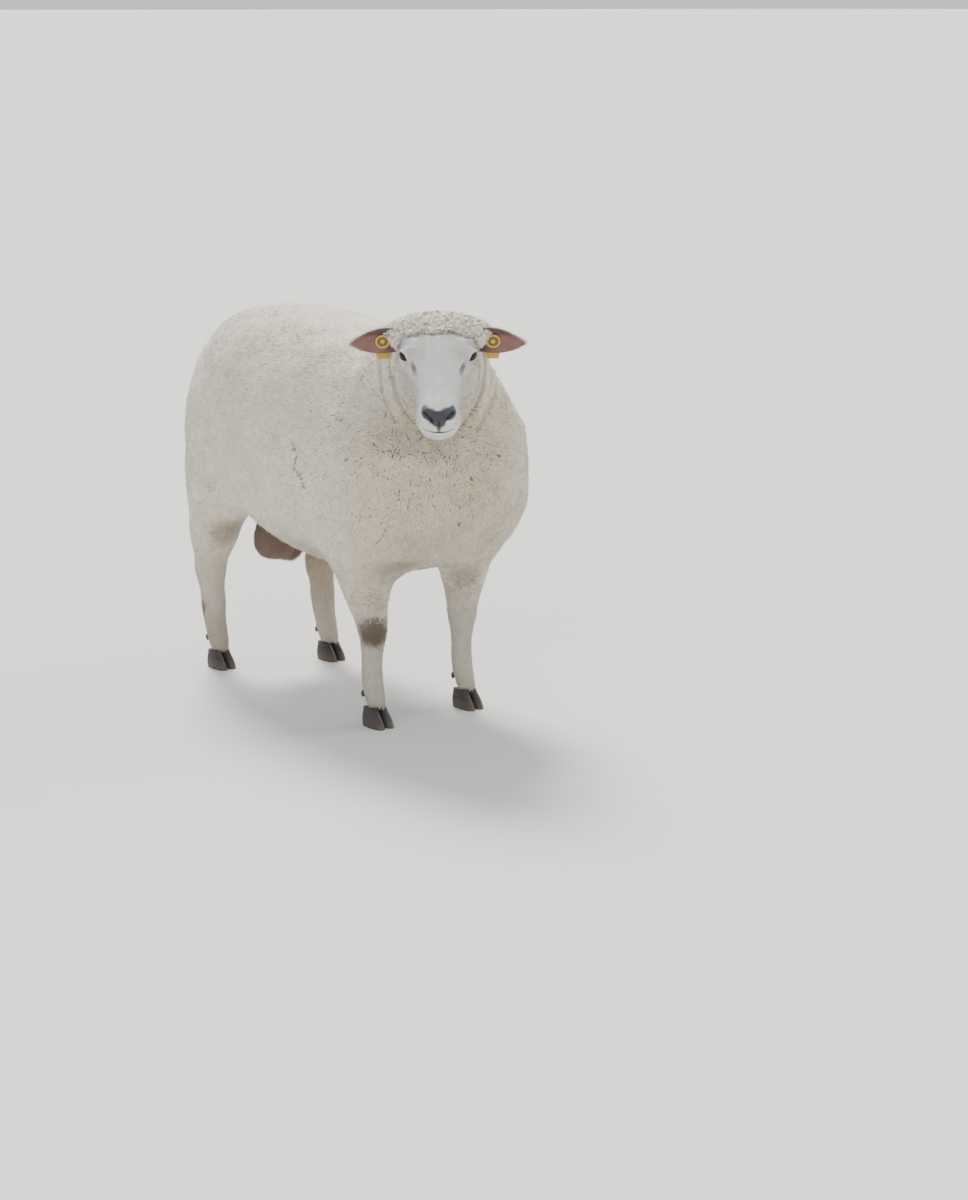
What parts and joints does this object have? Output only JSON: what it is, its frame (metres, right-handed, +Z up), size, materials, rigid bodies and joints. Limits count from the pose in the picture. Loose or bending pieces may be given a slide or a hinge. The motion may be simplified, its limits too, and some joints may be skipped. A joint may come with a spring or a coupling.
{
  "type": "sheep",
  "caption": "Life-size still model of a stocky white-faced ram in short cream fleece, standing square with its head turned to look to its right, with yellow ear tags",
  "frame": {"origin": "on the floor, at the centre of the bottom of the animal's bounding box", "axes": "+Z up; the animal's body faces -Y, so +Y runs from chest to rump and +X is its left side"},
  "size_m": [0.4702, 1.01, 0.8305],
  "materials": {
    "fleece": "dense short wool in small curly locks, matte",
    "face": "short flat white hair over pink-grey skin, bare slate-black nose",
    "ear": "thin skin, white-haired at the back and bare pinkish brown inside",
    "eye": "wet and glossy, dark amber-brown",
    "hoof": "worn dark horn with fine growth rings",
    "skin": "thinly haired reddish brown skin, matte",
    "tag": "smooth moulded yellow plastic"
  },
  "bodies": {
    "root": {"ear_left": "ear", "ear_right": "ear", "eye_left": "eye", "eye_right": "eye", "foreleg_left": "fleece", "foreleg_left_claw_inner": "hoof", "foreleg_left_claw_outer": "hoof", "foreleg_right": "fleece", "foreleg_right_claw_inner": "hoof", "foreleg_right_claw_outer": "hoof", "head": "face", "hindleg_left": "fleece", "hindleg_left_claw_inner": "hoof", "hindleg_left_claw_outer": "hoof", "hindleg_right": "fleece", "hindleg_right_claw_inner": "hoof", "hindleg_right_claw_outer": "hoof", "neck": "fleece", "scrotum": "skin", "tag_button_left": "tag", "tag_button_right": "tag", "tag_panel_left": "tag", "tag_panel_right": "tag", "tail": "fleece", "trunk": "fleece"}
  },
  "joints": []
}
